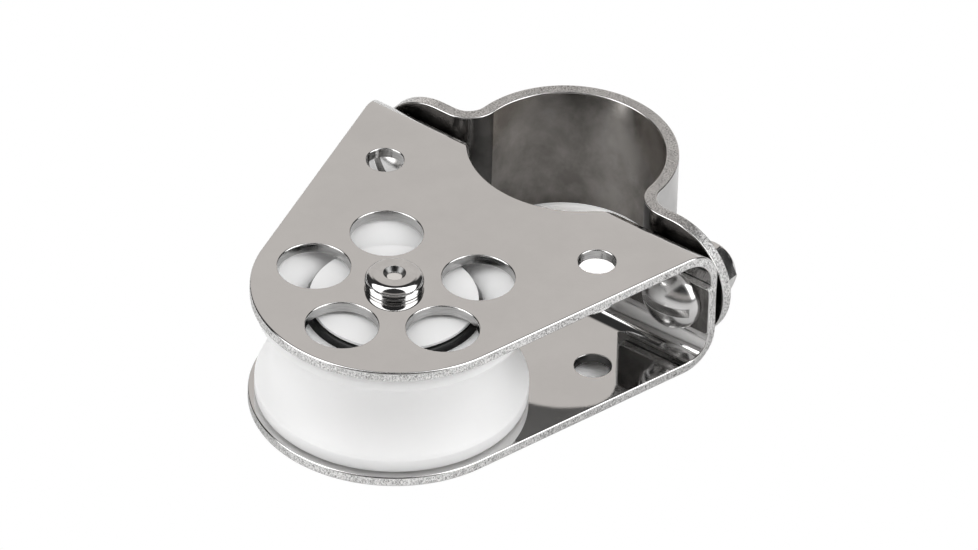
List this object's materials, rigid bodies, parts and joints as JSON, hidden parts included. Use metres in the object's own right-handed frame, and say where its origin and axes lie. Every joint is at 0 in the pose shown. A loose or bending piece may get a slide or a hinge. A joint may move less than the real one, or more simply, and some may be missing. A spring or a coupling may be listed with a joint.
{
  "type": "rail-mount bow roller",
  "caption": "Rail-mount line roller: a folded stainless frame holds a grooved white sheave on a riveted pin, and a bolted strap clamps it to a round rail.",
  "frame": {"origin": "on the axis of the clamped rail, halfway up the frame", "axes": "+Z along the rail and the sheave's axle, -X towards the sheave, +Y to the left clamp screw"},
  "size_m": [0.0689, 0.0552, 0.0218],
  "materials": {
    "polished_sheet": "mirror-polished stainless steel sheet with fine-grained cut edges",
    "strap_steel": "bright rolled stainless steel strip, slightly smeared",
    "fitting_steel": "polished stainless steel",
    "sleeve_steel": "drawn stainless steel tube",
    "white_acetal": "white acetal, turned, satin to semi-gloss",
    "white_disc": "white acetal, semi-gloss",
    "black_acetal": "black acetal",
    "nylon": "natural nylon"
  },
  "bodies": {
    "frame": {"frame": "polished_sheet", "backing_plate_left": "polished_sheet", "backing_plate_right": "polished_sheet", "clamp_screw_left": "fitting_steel", "clamp_screw_right": "fitting_steel", "hub_disc_top": "white_disc", "hub_disc_bottom": "white_disc", "bearing_sleeve": "sleeve_steel", "axle_pin": "fitting_steel"},
    "wheel": {"sheave": "white_acetal", "bearing_race": "black_acetal"},
    "clamp": {"clamp_strap": "strap_steel", "washer_left": "fitting_steel", "washer_right": "fitting_steel"},
    "nut_left": {"clamp_nut_left": "fitting_steel", "nylon_insert_left": "nylon"},
    "nut_right": {"clamp_nut_right": "fitting_steel", "nylon_insert_right": "nylon"}
  },
  "joints": [
    {"name": "sheave_spin", "type": "hinge", "parent": "frame", "child": "wheel", "pos_m": [-0.0365, 0, 0], "axis": [0, 0, 1], "continuous": true},
    {"name": "clamp_slide", "type": "slide", "parent": "frame", "child": "clamp", "axis": [1, 0, 0], "range_m": [-0.0004, 0.0015]},
    {"name": "nut_left_turn", "type": "hinge", "parent": "clamp", "child": "nut_left", "pos_m": [0, 0.0219, 0], "axis": [1, 0, 0], "range_deg": [-185, 680]},
    {"name": "nut_right_turn", "type": "hinge", "parent": "clamp", "child": "nut_right", "pos_m": [0, -0.0219, 0], "axis": [1, 0, 0], "range_deg": [-185, 680]}
  ],
  "couplings": [
    {"joint": "nut_left_turn", "follows": "clamp_slide", "rad_per_m": 7854},
    {"joint": "nut_right_turn", "follows": "clamp_slide", "rad_per_m": 7854}
  ]
}
